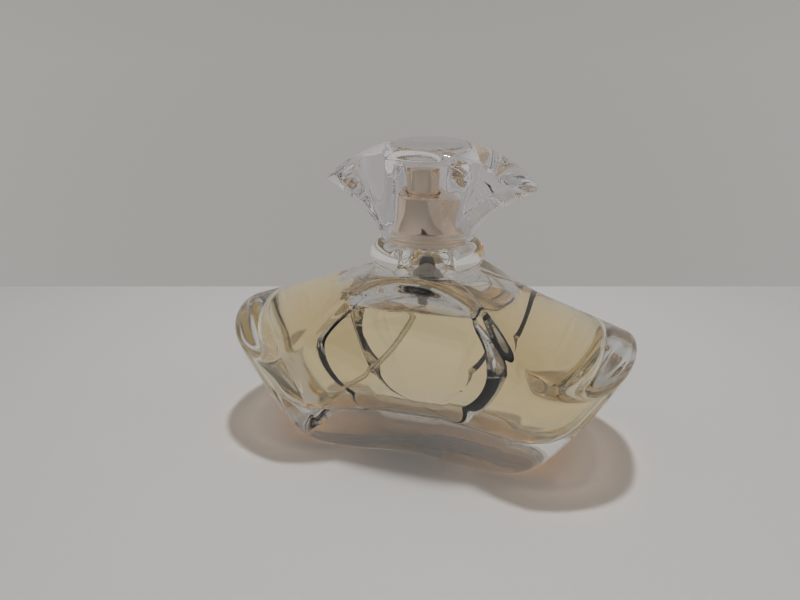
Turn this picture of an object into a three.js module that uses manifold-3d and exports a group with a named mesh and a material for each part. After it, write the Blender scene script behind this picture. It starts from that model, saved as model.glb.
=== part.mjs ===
// A fan-shaped clear glass perfume bottle with a crimped pump and a pull-off overcap.
// Millimetres, +Z up, the origin at the middle of the flat base, +X along the longer side.
import * as THREE from 'three';
import { mergeVertices } from 'three/addons/utils/BufferGeometryUtils.js';
import Module from 'manifold-3d';

const wasm = await Module();
wasm.setup();

// ---- Driving dimensions -------------------------------------------------------------------

// The hull flares up from the base to the rim. Its level sections are rounded rectangles.
const HULL = { baseHalfX: 30, tipHalfX: 48.5, growX: 0.75, baseHalfY: 18, tipHalfY: 25.5 };
const SQUARE = { base: 4.5, tip: 3 };
const TIP_Z = 28;
const HULL_LIMIT = 1.2;

// The front and back faces are pleated: a flat centre panel, a valley, and a wing that stands out.
const FACE = { panelHalfY: 15.4, crestBaseY: 17.3, crestTipY: 22.8, crestShare: 0.6 };
const VALLEY = { baseX: 4, topX: 15, topZ: 38 };

// The shoulder falls from the neck to the tips, and on the wings to the front and back too.
const SHOULDER = { topZ: 47.6, slope: 0.36, soften: 9, drop: 0.0234, flatX: 4, fullX: 30 };

// The cavity follows the outside, with a thick floor.
const WALL = { end: 6, face: 4.6, floor: 8, shoulder: 3.2, round: 6 };
const LIQUID_Z = 35.7;
const LIQUID_GAP = 0.3;

// The neck carries a round bead, and above it the narrow finish that the pump is crimped on.
const RING_R = 13.4;
const RING_BOTTOM_Z = 43.6;
const RING_TOP_Z = 50;
const FINISH_R = 7.5;
const FINISH_GROOVE_R = 6.6;
const FINISH_LIP_Z = 51.6;
const FINISH_TOP_Z = 54.6;
const BORE_R = 4.7;

// The pump, crimped on the finish.
const COLLAR_R = 8.6;
const COLLAR_TOP_Z = 61.4;
const CUP_TOP_Z = 56.6;
const ACTUATOR_R = 5.5;
const ACTUATOR_BOTTOM_Z = 60.6;
const ACTUATOR_TOP_Z = 67.2;
const HOUSING_BORE_R = 2.7;
const HOUSING_FLOOR_Z = 44.2;
const STEM_R = 1.4;
const STEM_FLANGE_Z = 51.2;
const TAIL_Z = 36.8;
const CLEARANCE = 0.15;

// The overcap: a solid pleated fan on a round foot, with a dome on top.
const CAP = {
  footZ: 50.4, footR: 10.9, tipX: 24.5, tipZ: 62.8, topZ: 73,
  panelHalfY: 11.2, valleyX: 12, valleyDepth: 2.4, tipHalfY: 8.5, turnDegrees: -4,
};
const SOCKET = { mouthR: 9.5, mouthDepth: 1.7, wallR: 8.85, ceilingZ: 69 };

// ---- Solids -------------------------------------------------------------------------------

const RADIUS_LIMIT = 70;
const BISECTIONS = 40;

function softMax(a, b, round) {
  const blend = Math.max(round - Math.abs(a - b), 0) / round;
  return Math.max(a, b) + blend * blend * round / 4;
}

function mix(a, b, t) {
  return a + (b - a) * t;
}

function ramp(value, start, end) {
  const t = Math.min(Math.max((value - start) / (end - start), 0), 1);
  return t * t * (3 - 2 * t);
}

// A closed surface seen whole from its centre: field(x, y, z) is negative inside it.
function radialGeometry(field, centre, around, up) {
  const positions = [];
  const indices = [];
  const addPoint = (polar, turn) => {
    const dx = Math.sin(polar) * Math.cos(turn);
    const dy = Math.sin(polar) * Math.sin(turn);
    const dz = Math.cos(polar);
    let inside = 0;
    let outside = RADIUS_LIMIT;
    for (let i = 0; i < BISECTIONS; i += 1) {
      const r = (inside + outside) / 2;
      if (field(centre[0] + dx * r, centre[1] + dy * r, centre[2] + dz * r) < 0) inside = r;
      else outside = r;
    }
    positions.push(centre[0] + dx * inside, centre[1] + dy * inside, centre[2] + dz * inside);
  };
  addPoint(0, 0);
  for (let row = 1; row < up; row += 1) {
    for (let column = 0; column < around; column += 1) {
      addPoint(Math.PI * row / up, 2 * Math.PI * column / around);
    }
  }
  addPoint(Math.PI, 0);
  const at = (row, column) => 1 + (row - 1) * around + column % around;
  const last = 1 + (up - 1) * around;
  for (let column = 0; column < around; column += 1) {
    indices.push(0, at(1, column), at(1, column + 1));
    for (let row = 1; row < up - 1; row += 1) {
      indices.push(at(row, column), at(row + 1, column), at(row + 1, column + 1));
      indices.push(at(row, column), at(row + 1, column + 1), at(row, column + 1));
    }
    indices.push(at(up - 1, column), last, at(up - 1, column + 1));
  }
  const geometry = new THREE.BufferGeometry();
  geometry.setAttribute('position', new THREE.Float32BufferAttribute(positions, 3));
  geometry.setIndex(indices);
  return geometry;
}

// A closed skin through loops of as many points each, with a fan of triangles over each end.
// Each loop runs anticlockwise as seen from the end that the loops are stacked towards.
function loft(loops) {
  const around = loops[0].length;
  const positions = [];
  const indices = [];
  for (const loop of loops) {
    for (const point of loop) positions.push(...point);
  }
  for (let level = 0; level < loops.length - 1; level += 1) {
    for (let i = 0; i < around; i += 1) {
      const here = level * around + i;
      const next = level * around + (i + 1) % around;
      indices.push(here, next, next + around, here, next + around, here + around);
    }
  }
  const addFan = (loop, first, facingUp) => {
    const middle = positions.length / 3;
    for (let axis = 0; axis < 3; axis += 1) {
      positions.push(loop.reduce((sum, point) => sum + point[axis], 0) / around);
    }
    for (let i = 0; i < around; i += 1) {
      const edge = [first + i, first + (i + 1) % around];
      if (!facingUp) edge.reverse();
      indices.push(...edge, middle);
    }
  };
  addFan(loops[0], 0, false);
  addFan(loops.at(-1), (loops.length - 1) * around, true);
  const geometry = new THREE.BufferGeometry();
  geometry.setAttribute('position', new THREE.Float32BufferAttribute(positions, 3));
  geometry.setIndex(indices);
  return geometry;
}

function evenly(start, end, count) {
  return Array.from({ length: count + 1 }, (_, i) => mix(start, end, i / count));
}

// A lofted trumpet with elliptical level sections; half(z) gives their half widths in X and Y.
function trumpetSolid(half, levels, around) {
  const loops = levels.map((z) => {
    const [halfX, halfY] = half(z);
    const turns = evenly(0, 2 * Math.PI, around).slice(0, -1);
    return turns.map((turn) => [halfX * Math.cos(turn), halfY * Math.sin(turn), z]);
  });
  return toSolid(loft(loops));
}

// An upright slab whose front and back follow faceY(x, z). Its stations along X may shift with z.
function slabSolid(faceY, stations, levels) {
  const loops = levels.map((z) => {
    const front = stations(z).map((x) => [x, -faceY(x, z), z]);
    const back = stations(z).map((x) => [x, faceY(x, z), z]);
    return [...front, ...back.reverse()];
  });
  return toSolid(loft(loops));
}

// Everything under the surface topZ(x, y), down to a flat floor.
function underSolid(topZ, floorZ, reach, columns, rows) {
  const loops = evenly(-reach[0], reach[0], columns).map((x) => {
    const across = evenly(reach[1], -reach[1], rows);
    return [[x, -reach[1], floorZ], [x, reach[1], floorZ], ...across.map((y) => [x, y, topZ(x, y)])];
  });
  return toSolid(loft(loops));
}

// A turned piece: points are [radius, height] up the outside and back down the inside or axis.
function turned(points, segments = 24) {
  const profile = points.map(([radius, height]) => new THREE.Vector2(radius, height));
  const geometry = new THREE.LatheGeometry(profile, segments);
  return geometry.rotateX(Math.PI / 2);
}

// A turned ring with a square section.
function ring(innerR, outerR, bottomZ, topZ, segments = 24) {
  const section = [[innerR, bottomZ], [outerR, bottomZ], [outerR, topZ], [innerR, topZ], [innerR, bottomZ]];
  return turned(section, segments);
}

// A turned plug or disc with a square section.
function plug(radius, bottomZ, topZ, segments = 24) {
  return turned([[0, bottomZ], [radius, bottomZ], [radius, topZ], [0, topZ]], segments);
}

function tube(curve, radius, steps, sides, boreR = 0) {
  const section = new THREE.Shape();
  section.absarc(0, 0, radius, 0, 2 * Math.PI, false);
  if (boreR > 0) section.holes.push(new THREE.Path().absarc(0, 0, boreR, 0, 2 * Math.PI, true));
  const settings = { steps, curveSegments: sides, extrudePath: curve, bevelEnabled: false };
  return new THREE.ExtrudeGeometry(section, settings);
}

function toSolid(geometry) {
  const bare = geometry.clone();
  bare.deleteAttribute('normal');
  bare.deleteAttribute('uv');
  const merged = mergeVertices(bare, 1e-4);
  const vertProperties = new Float32Array(merged.attributes.position.array);
  const triVerts = new Uint32Array(merged.index.array);
  return new wasm.Manifold(new wasm.Mesh({ numProp: 3, vertProperties, triVerts }));
}

function toGeometry(solid) {
  const mesh = solid.getMesh();
  const geometry = new THREE.BufferGeometry();
  geometry.setAttribute('position', new THREE.BufferAttribute(mesh.vertProperties, 3));
  geometry.setIndex(new THREE.BufferAttribute(mesh.triVerts, 1));
  return geometry;
}

// ---- The bottle's shape -------------------------------------------------------------------

// How far up the flare a height is: 0 at the base and 1 at the tips.
function flare(z) {
  return Math.min(Math.max(z / TIP_Z, 0), HULL_LIMIT);
}

function hullHalf(z) {
  const halfX = mix(HULL.baseHalfX, HULL.tipHalfX, flare(z) ** HULL.growX);
  return [halfX, mix(HULL.baseHalfY, HULL.tipHalfY, flare(z))];
}

function squareness(z) {
  return mix(SQUARE.base, SQUARE.tip, Math.min(flare(z), 1));
}

// Distance outside the hull's section at a height.
function hullDistance(x, y, z) {
  const [halfX, halfY] = hullHalf(z);
  const power = squareness(z);
  const alongX = Math.max(Math.abs(x) / halfX, 1e-6);
  const alongY = Math.max(Math.abs(y) / halfY, 1e-6);
  const r = (alongX ** power + alongY ** power) ** (1 / power);
  const steepness = Math.hypot(alongX ** (power - 1) / halfX, alongY ** (power - 1) / halfY);
  return (r - 1) / (steepness * r ** (1 - power));
}

// Where the valley and the crest of the pleat lie along X, and how far out the crest stands.
function pleatAt(z) {
  const valleyX = mix(VALLEY.baseX, VALLEY.topX, Math.min(Math.max(z / VALLEY.topZ, 0), 1));
  const crestX = hullHalf(z)[0] * FACE.crestShare;
  const crestY = mix(FACE.crestBaseY, FACE.crestTipY, flare(z));
  return { valleyX, crestX, crestY };
}

// Half of the bottle's thickness.
function faceHalfY(x, z) {
  const { valleyX, crestX, crestY } = pleatAt(z);
  const past = Math.min(Math.max((Math.abs(x) - valleyX) / (crestX - valleyX), 0), 1);
  return mix(FACE.panelHalfY, crestY, past);
}

function shoulderZ(x, y) {
  const ridge = SHOULDER.topZ - SHOULDER.slope * Math.hypot(x, SHOULDER.soften);
  return ridge - SHOULDER.drop * y * y * ramp(Math.abs(x), SHOULDER.flatX, SHOULDER.fullX);
}

const END_STEPS = 9;

// One quarter of the level section at a height, from the middle of the face to the tip.
function quarterOutline(z) {
  const [halfX, halfY] = hullHalf(z);
  const { valleyX, crestX, crestY } = pleatAt(z);
  const power = squareness(z);
  const cornerX = halfX * (1 - (crestY / halfY) ** power) ** (1 / power);
  const face = [0, ...evenly(valleyX, crestX, 3), Math.max(cornerX, crestX + 0.2)];
  const points = face.map((x) => [x, faceHalfY(x, z)]);
  const startTurn = Math.acos((cornerX / halfX) ** (power / 2));
  for (const turn of evenly(startTurn, 0, END_STEPS).slice(1)) {
    points.push([halfX * Math.cos(turn) ** (2 / power), halfY * Math.sin(turn) ** (2 / power)]);
  }
  return points;
}

// The level section at a height, all round from the middle of the front face.
function hullLoop(z) {
  const quarter = quarterOutline(z);
  const right = quarter.map(([x, y]) => [x, -y, z]);
  const back = quarter.slice(1, -1).reverse().map(([x, y]) => [x, y, z]);
  const rightHalf = [...right, ...back];
  const leftHalf = rightHalf.map(([x, y]) => [-x, -y, z]);
  return [...rightHalf, [0, quarter[0][1], z], ...leftHalf.slice(1)];
}

function bodySolid() {
  const rim = TIP_Z * HULL_LIMIT;
  const hull = toSolid(loft([0, 2, 5, 9, 14, 19, 24, TIP_Z, rim, VALLEY.topZ, 50].map(hullLoop)));
  return hull.intersect(underSolid(shoulderZ, -1, [60, 30], 40, 16));
}

function cavityField(x, y, z) {
  const ends = hullDistance(x, y, z) + WALL.end;
  const faces = Math.abs(y) - faceHalfY(x, z) + WALL.face;
  const walls = softMax(ends, faces, WALL.round);
  const capped = softMax(walls, z - shoulderZ(x, y) + WALL.shoulder, WALL.round);
  return softMax(capped, WALL.floor - z, WALL.round);
}

const CAVITY_CENTRE = [0, 0, 21];
const CAVITY_AROUND = 48;
const CAVITY_UP = 20;

// ---- Glass and perfume ----------------------------------------------------------

// The tube hangs from the pump and sweeps to the low left corner of the cavity.
const DIP_TUBE_R = 0.7;
const DIP_TUBE_BORE_R = 0.4;
const dipTubeRoute = new THREE.CatmullRomCurve3([
  new THREE.Vector3(0, 0, 40.4),
  new THREE.Vector3(0, 0, 38.6),
  new THREE.Vector3(0, 0, 36.4),
  new THREE.Vector3(-1.5, 0, 32.8),
  new THREE.Vector3(-4, 0, 28),
  new THREE.Vector3(-8.4, 0, 21.2),
  new THREE.Vector3(-14.4, 0, 15),
  new THREE.Vector3(-22, 0, 9.8),
]);

function bottleGeometry() {
  const bead = new THREE.Path();
  const beadMiddleZ = (RING_BOTTOM_Z + RING_TOP_Z) / 2;
  const beadHalf = (RING_TOP_Z - RING_BOTTOM_Z) / 2;
  const waistR = RING_R - 1.6;
  bead.moveTo(0, RING_BOTTOM_Z - 12);
  bead.lineTo(waistR, RING_BOTTOM_Z - 12);
  bead.lineTo(waistR, RING_BOTTOM_Z);
  bead.absellipse(RING_R - beadHalf, beadMiddleZ, beadHalf, beadHalf, -Math.PI / 3, Math.PI / 2, false, 0);
  bead.lineTo(FINISH_GROOVE_R, RING_TOP_Z);
  bead.lineTo(FINISH_GROOVE_R, FINISH_LIP_Z);
  bead.lineTo(FINISH_R, FINISH_LIP_Z + 0.5);
  bead.lineTo(FINISH_R, FINISH_TOP_Z - 0.4);
  bead.lineTo(FINISH_R - 0.4, FINISH_TOP_Z);
  bead.lineTo(0, FINISH_TOP_Z);
  const outline = bead.getPoints(6).map((point) => [point.x, point.y]);
  const neck = toSolid(turned(outline, 40));
  const cavity = toSolid(radialGeometry(cavityField, CAVITY_CENTRE, CAVITY_AROUND, CAVITY_UP));
  const bore = toSolid(plug(BORE_R, RING_BOTTOM_Z - 14, FINISH_TOP_Z + 1, 32));
  return toGeometry(bodySolid().add(neck).subtract(cavity.add(bore)));
}

function perfumeGeometry() {
  const wet = (x, y, z) => Math.max(cavityField(x, y, z) + LIQUID_GAP, z - LIQUID_Z);
  const liquid = toSolid(radialGeometry(wet, CAVITY_CENTRE, CAVITY_AROUND, CAVITY_UP));
  const channel = toSolid(tube(dipTubeRoute, DIP_TUBE_R + LIQUID_GAP, 16, 4));
  return toGeometry(liquid.subtract(channel));
}

// ---- The crimp ----------------------------------------------------------------------------

// The cup closes over the finish and its foot is rolled in under the lip.
function ferruleCupGeometry() {
  const skirtR = FINISH_R + 0.25;
  const outerR = FINISH_R + 0.55;
  const discBottomZ = CUP_TOP_Z - 0.5;
  const rollBottomZ = FINISH_LIP_Z - 0.7;
  const rollTopZ = FINISH_LIP_Z - 0.3;
  return turned([
    [FINISH_GROOVE_R + 0.35, rollBottomZ],
    [outerR, rollBottomZ],
    [outerR, CUP_TOP_Z],
    [2.2, CUP_TOP_Z],
    [2.2, discBottomZ],
    [skirtR, discBottomZ],
    [skirtR, rollTopZ],
    [FINISH_GROOVE_R + 0.35, rollTopZ],
    [FINISH_GROOVE_R + 0.35, rollBottomZ],
  ], 32);
}

// The decorative collar hides the cup and guides the actuator.
function collarGeometry() {
  const footZ = RING_TOP_Z + 0.4;
  const footTopZ = footZ + 0.9;
  const innerR = COLLAR_R - 0.3;
  const topInnerZ = COLLAR_TOP_Z - 0.4;
  const grooveZ = footTopZ + 1.9;
  return turned([
    [innerR, footZ],
    [COLLAR_R + 0.5, footZ],
    [COLLAR_R + 0.5, footTopZ],
    [COLLAR_R, footTopZ],
    [COLLAR_R, grooveZ - 0.25],
    [COLLAR_R - 0.15, grooveZ],
    [COLLAR_R, grooveZ + 0.25],
    [COLLAR_R, COLLAR_TOP_Z - 0.3],
    [COLLAR_R - 0.3, COLLAR_TOP_Z],
    [ACTUATOR_R + 0.3, COLLAR_TOP_Z],
    [ACTUATOR_R + 0.3, topInnerZ],
    [innerR, topInnerZ],
    [innerR, footZ],
  ], 32);
}

// ---- Inside the pump ----------------------------------------------------------------------

const FLANGE_TOP_Z = CUP_TOP_Z - 0.6;
const FLANGE_BOTTOM_Z = FLANGE_TOP_Z - 0.55;
const RECESS_Z = FLANGE_TOP_Z - 2.1;
const SPRING_SEAT_Z = HOUSING_FLOOR_Z + 1;
const INTAKE_SEAL_Z = HOUSING_FLOOR_Z - 2;
const INTAKE_SEAL_HEIGHT = 1.6;
const TAIL_R = 1.35;
const TAIL_BORE_R = 0.9;

function housingGeometry() {
  const bodyR = BORE_R - 0.4;
  return turned([
    [TAIL_BORE_R, TAIL_Z],
    [TAIL_R, TAIL_Z],
    [TAIL_R, INTAKE_SEAL_Z - 1.1],
    [2.2, INTAKE_SEAL_Z - 1.1],
    [2.2, INTAKE_SEAL_Z - 0.7],
    [TAIL_R, INTAKE_SEAL_Z - 0.7],
    [TAIL_R, HOUSING_FLOOR_Z - 0.3],
    [3.2, HOUSING_FLOOR_Z - 0.3],
    [bodyR, HOUSING_FLOOR_Z + 2.2],
    [bodyR, FLANGE_BOTTOM_Z],
    [FINISH_R - 0.6, FLANGE_BOTTOM_Z],
    [FINISH_R - 0.6, FLANGE_TOP_Z],
    [3.65, FLANGE_TOP_Z],
    [3.65, RECESS_Z],
    [HOUSING_BORE_R, RECESS_Z],
    [HOUSING_BORE_R, SPRING_SEAT_Z],
    [1.6, SPRING_SEAT_Z],
    [0.6, HOUSING_FLOOR_Z],
    [0.5, TAIL_Z + 4.1],
    [TAIL_BORE_R, TAIL_Z + 4.1],
    [TAIL_BORE_R, TAIL_Z],
  ]);
}

// The stem is a tube. The spring pushes up on its flange.
function stemGeometry() {
  const boreR = 0.6;
  return turned([
    [boreR, STEM_FLANGE_Z],
    [2.35, STEM_FLANGE_Z],
    [2.35, STEM_FLANGE_Z + 0.7],
    [STEM_R, STEM_FLANGE_Z + 0.7],
    [STEM_R, ACTUATOR_BOTTOM_Z + 2.3],
    [boreR, ACTUATOR_BOTTOM_Z + 2.3],
    [boreR, STEM_FLANGE_Z],
  ], 20);
}

const SPRING = { radius: 2.15, wireR: 0.21, turns: 4.5 };

function springGeometry() {
  const bottomZ = SPRING_SEAT_Z + SPRING.wireR + CLEARANCE;
  const topZ = STEM_FLANGE_Z - SPRING.wireR - CLEARANCE;
  const steps = 45;
  const points = [];
  for (let i = 0; i <= steps; i += 1) {
    const turn = 2 * Math.PI * SPRING.turns * i / steps;
    const z = mix(bottomZ, topZ, i / steps);
    points.push(new THREE.Vector3(SPRING.radius * Math.cos(turn), SPRING.radius * Math.sin(turn), z));
  }
  return tube(new THREE.CatmullRomCurve3(points), SPRING.wireR, 54, 3);
}

// ---- The actuator -------------------------------------------------------------------------

const NOZZLE_Z = ACTUATOR_TOP_Z - 2.6;
const NOZZLE_R = 1.2;
const SHELL_WALL = 0.4;

// A plug that lies along +Y, from one depth to another, at the nozzle's height.
function crossPlug(radius, startY, endY) {
  return plug(radius, startY, endY, 16).rotateX(-Math.PI / 2).translate(0, 0, NOZZLE_Z);
}

function actuatorShellGeometry() {
  const innerR = ACTUATOR_R - SHELL_WALL;
  const shell = turned([
    [innerR, ACTUATOR_BOTTOM_Z],
    [ACTUATOR_R, ACTUATOR_BOTTOM_Z],
    [ACTUATOR_R, ACTUATOR_TOP_Z - 0.5],
    [ACTUATOR_R - 0.5, ACTUATOR_TOP_Z],
    [3.6, ACTUATOR_TOP_Z - 0.15],
    [0, ACTUATOR_TOP_Z - 0.45],
    [0, ACTUATOR_TOP_Z - 0.9],
    [innerR, ACTUATOR_TOP_Z - 0.9],
    [innerR, ACTUATOR_BOTTOM_Z],
  ], 32);
  const hole = toSolid(crossPlug(NOZZLE_R + 0.3, ACTUATOR_R - 2, ACTUATOR_R + 1));
  return toGeometry(toSolid(shell).subtract(hole));
}

function actuatorCoreGeometry() {
  const radius = ACTUATOR_R - SHELL_WALL - CLEARANCE;
  const block = toSolid(plug(radius, ACTUATOR_BOTTOM_Z + 0.3, ACTUATOR_TOP_Z - 1.1, 28));
  const socket = toSolid(plug(STEM_R + CLEARANCE, ACTUATOR_BOTTOM_Z - 1, ACTUATOR_BOTTOM_Z + 2.5, 20));
  const pocket = toSolid(crossPlug(NOZZLE_R + CLEARANCE, 2.2, ACTUATOR_R));
  const passage = toSolid(plug(0.5, ACTUATOR_BOTTOM_Z + 2, NOZZLE_Z, 10));
  const feed = toSolid(crossPlug(0.5, 0, 3));
  return toGeometry(block.subtract(socket.add(pocket).add(passage).add(feed)));
}

function nozzleGeometry() {
  const faceY = ACTUATOR_R - 0.1;
  const insert = toSolid(crossPlug(NOZZLE_R, 2.4, faceY));
  const orifice = toSolid(crossPlug(0.35, 2, faceY + 1));
  return toGeometry(insert.subtract(orifice));
}

// ---- The overcap --------------------------------------------------------------------------

// Half widths of the trumpet: narrow at the foot, sweeping out to the tips.
function capHalf(z) {
  const t = Math.min(Math.max((z - CAP.footZ) / (CAP.tipZ - CAP.footZ), 0), 1.25) ** 1.9;
  return [mix(CAP.footR, CAP.tipX, t), mix(CAP.footR, CAP.panelHalfY + 1.5, t)];
}

// The pleats spread with the trumpet, so that a valley keeps its place between panel and wing.
function capSpread(z) {
  return Math.sqrt(capHalf(z)[0] / CAP.tipX);
}

function capFaceY(x, z) {
  const place = Math.abs(x) / capSpread(z);
  const valley = Math.exp(-(((place - CAP.valleyX) / 2.6) ** 2));
  const outward = ramp(place, CAP.valleyX, CAP.tipX);
  return mix(CAP.panelHalfY, CAP.tipHalfY, outward) - CAP.valleyDepth * valley;
}

function capDomeZ(x, y) {
  const fall = (CAP.topZ - CAP.tipZ) * (Math.abs(x) / CAP.tipX) ** 2.2;
  return CAP.topZ - fall - 1.8 * (y / CAP.panelHalfY) ** 2;
}

function overcapGeometry() {
  const levels = [...evenly(CAP.footZ, CAP.tipZ, 7), 66, CAP.topZ + 2];
  const trumpet = trumpetSolid(capHalf, levels, 44);
  const pleat = evenly(7, 17, 6);
  const pleats = [...pleat.toReversed().map((x) => -x), ...pleat];
  const stations = (z) => [-40, ...[-21, ...pleats, 21].map((x) => x * capSpread(z)), 40];
  const slab = slabSolid(capFaceY, stations, [CAP.footZ - 1, ...levels.slice(2, -1), CAP.topZ + 3]);
  const dome = underSolid(capDomeZ, CAP.footZ - 1, [30, 15], 20, 6);
  const fan = trumpet.intersect(slab).intersect(dome);
  const mouthTopZ = CAP.footZ + SOCKET.mouthDepth;
  const socket = toSolid(turned([
    [0, CAP.footZ - 2],
    [SOCKET.mouthR, CAP.footZ - 2],
    [SOCKET.mouthR, mouthTopZ],
    [SOCKET.wallR, mouthTopZ + 0.6],
    [SOCKET.wallR, SOCKET.ceilingZ - 1.5],
    [SOCKET.wallR - 1.5, SOCKET.ceilingZ],
    [0, SOCKET.ceilingZ],
  ], 32));
  return toGeometry(fan.subtract(socket));
}

// ---- The assembly -------------------------------------------------------------------------

const GLASS = { color: 0xeef2f2, roughness: 0.03, metalness: 0 };
const LIQUID = { color: 0xf0dc92, roughness: 0.02, metalness: 0 };
const GOLD = { color: 0xd9b37a, roughness: 0.12, metalness: 1 };
const ALUMINIUM = { color: 0xc8c9cb, roughness: 0.3, metalness: 1 };
const STEEL = { color: 0xb8babd, roughness: 0.25, metalness: 1 };
const NATURAL_PLASTIC = { color: 0xe6e6e2, roughness: 0.35, metalness: 0 };
const DARK_RUBBER = { color: 0x2b2b2d, roughness: 0.7, metalness: 0 };
const CAP_PLASTIC = { color: 0xe9e6ef, roughness: 0.05, metalness: 0 };

function piece(name, geometry, look) {
  const mesh = new THREE.Mesh(geometry, new THREE.MeshStandardMaterial(look));
  mesh.name = name;
  return mesh;
}

const bottle = new THREE.Group();
const pump = new THREE.Group();
const plunger = new THREE.Group();
const actuator = new THREE.Group();

const sealZ = RECESS_Z + CLEARANCE;
const guideZ = sealZ + 0.75;
const sealR = 3.5;
const bushR = STEM_R + CLEARANCE;
const pistonZ = STEM_FLANGE_Z + 0.8;
const gasketZ = FINISH_TOP_Z + CLEARANCE;

bottle.add(
  piece('bottle_glass', bottleGeometry(), GLASS),
  piece('perfume', perfumeGeometry(), LIQUID),
);

pump.add(
  piece('neck_gasket', ring(BORE_R + 0.2, FINISH_R - 0.5, gasketZ, gasketZ + 0.5), DARK_RUBBER),
  piece('ferrule_cup', ferruleCupGeometry(), ALUMINIUM),
  piece('ferrule_collar', collarGeometry(), GOLD),
  piece('pump_housing', housingGeometry(), NATURAL_PLASTIC),
  piece('stem_seal', ring(bushR, sealR, sealZ, sealZ + 0.6), DARK_RUBBER),
  piece('stem_guide', ring(bushR, sealR, guideZ, FLANGE_TOP_Z), NATURAL_PLASTIC),
  piece('dip_tube', tube(dipTubeRoute, DIP_TUBE_R, 16, 4, DIP_TUBE_BORE_R), NATURAL_PLASTIC),
  piece('return_spring', springGeometry(), STEEL),
);

const intakeTopZ = INTAKE_SEAL_Z + INTAKE_SEAL_HEIGHT - CLEARANCE;
const intakeSeal = ring(TAIL_R + CLEARANCE, 2.1, INTAKE_SEAL_Z - 0.5, intakeTopZ);
pump.add(piece('intake_seal', intakeSeal, DARK_RUBBER));

const inletBall = piece('inlet_ball', new THREE.SphereGeometry(0.9, 16, 10), STEEL);
inletBall.position.z = HOUSING_FLOOR_Z + 0.8;
pump.add(inletBall);

plunger.add(
  piece('stem', stemGeometry(), NATURAL_PLASTIC),
  piece('piston', ring(bushR, HOUSING_BORE_R - 0.1, pistonZ, pistonZ + 1.6), NATURAL_PLASTIC),
);

actuator.add(
  piece('actuator_core', actuatorCoreGeometry(), NATURAL_PLASTIC),
  piece('actuator_shell', actuatorShellGeometry(), GOLD),
  piece('nozzle_insert', nozzleGeometry(), NATURAL_PLASTIC),
);
plunger.add(actuator);
pump.add(plunger);

const overcap = piece('overcap', overcapGeometry(), CAP_PLASTIC);
overcap.rotation.z = THREE.MathUtils.degToRad(CAP.turnDegrees);

const perfumeBottle = new THREE.Group();
perfumeBottle.add(bottle, pump, overcap);

export default perfumeBottle;
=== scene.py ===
"""A fan-shaped glass perfume bottle with a crimped pump and a clear pleated overcap.

Metres in Blender. Lengths in this file are in millimetres until a mesh is made.
"""

import bpy
import numpy as np
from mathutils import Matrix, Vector


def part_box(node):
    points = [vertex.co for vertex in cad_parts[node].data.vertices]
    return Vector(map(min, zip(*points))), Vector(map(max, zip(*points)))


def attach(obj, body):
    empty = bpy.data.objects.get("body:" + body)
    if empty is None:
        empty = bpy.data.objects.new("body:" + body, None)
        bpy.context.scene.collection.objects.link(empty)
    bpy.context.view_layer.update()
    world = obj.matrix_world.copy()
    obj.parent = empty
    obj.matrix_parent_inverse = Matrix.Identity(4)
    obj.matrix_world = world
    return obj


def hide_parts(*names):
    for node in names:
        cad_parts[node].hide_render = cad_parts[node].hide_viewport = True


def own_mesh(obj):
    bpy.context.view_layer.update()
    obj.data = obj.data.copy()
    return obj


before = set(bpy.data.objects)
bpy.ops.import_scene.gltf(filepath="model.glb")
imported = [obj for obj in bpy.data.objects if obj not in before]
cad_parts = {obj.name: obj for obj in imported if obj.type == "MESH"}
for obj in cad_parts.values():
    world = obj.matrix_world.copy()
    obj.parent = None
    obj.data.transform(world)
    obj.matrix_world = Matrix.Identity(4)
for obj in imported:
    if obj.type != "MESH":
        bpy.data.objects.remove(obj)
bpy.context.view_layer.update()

MM = 0.001
TAU = 2 * np.pi


def node_top(node):
    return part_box(node)[1].z / MM


def node_foot(node):
    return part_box(node)[0].z / MM


# ---- Dimensions, as in the CAD ------------------------------------------------------------

HULL_BASE = (30.0, 18.0)
HULL_TIP = (48.5, 25.5)
HULL_GROWTH = 0.75
HULL_LIMIT = 1.2
SQUARE = (4.5, 3.0)
TIP_Z = 28.0
PANEL_HALF_Y = 15.4
CREST_Y = (17.3, 22.8)
CREST_SHARE = 0.6
VALLEY_X = (4.0, 15.0)
VALLEY_TOP_Z = 38.0
SHOULDER_TOP_Z = 47.6
SHOULDER_SLOPE = 0.36
SHOULDER_SOFTEN = 9.0
SHOULDER_DROP = 0.0234
SHOULDER_FLAT_X = (4.0, 30.0)
WALL_END = 6.0
WALL_FACE = 4.6
WALL_FLOOR = 8.0
WALL_SHOULDER = 3.2
WALL_ROUND = 6.0
LIQUID_Z = 35.7

WAIST_R = 11.8
BEAD_R = 13.4
BEAD_SECTION_R = 3.2
BEAD_Z = 46.8
RING_TOP_Z = 50.0
FINISH_R = 7.5
GROOVE_R = 6.6
LIP_Z = 51.6
FINISH_TOP_Z = node_top("bottle_glass")
BORE_R = 4.7

COLLAR_R = 8.6
ACTUATOR_R = 5.5
STEM_R = 1.4
NOZZLE_Z = 64.6

CAP_FOOT_Z = node_foot("overcap")
CAP_FOOT_R = 10.9
CAP_TIP = (24.5, 12.7)
CAP_TIP_Z = 62.8
CAP_TOP_Z = 73.0
CAP_FLARE = 1.9
CAP_FACE_Y = (11.2, 8.5)
CAP_VALLEY_X = 12.0
CAP_VALLEY_DEPTH = 2.4
CAP_VALLEY_WIDTH = 2.6
CAP_TURN = np.radians(-4)
SOCKET_R = 8.85
SOCKET_MOUTH_R = 9.5
SOCKET_TOP_Z = 69.0


# ---- Mesh tools ---------------------------------------------------------------------------


def soft_max(a, b, width):
    blend = np.maximum(width - np.abs(a - b), 0) / width
    return np.maximum(a, b) + blend * blend * width / 4


def soft_min(a, b, width):
    return -soft_max(-a, -b, width)


def lerp(a, b, t):
    return a + (b - a) * t


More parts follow.
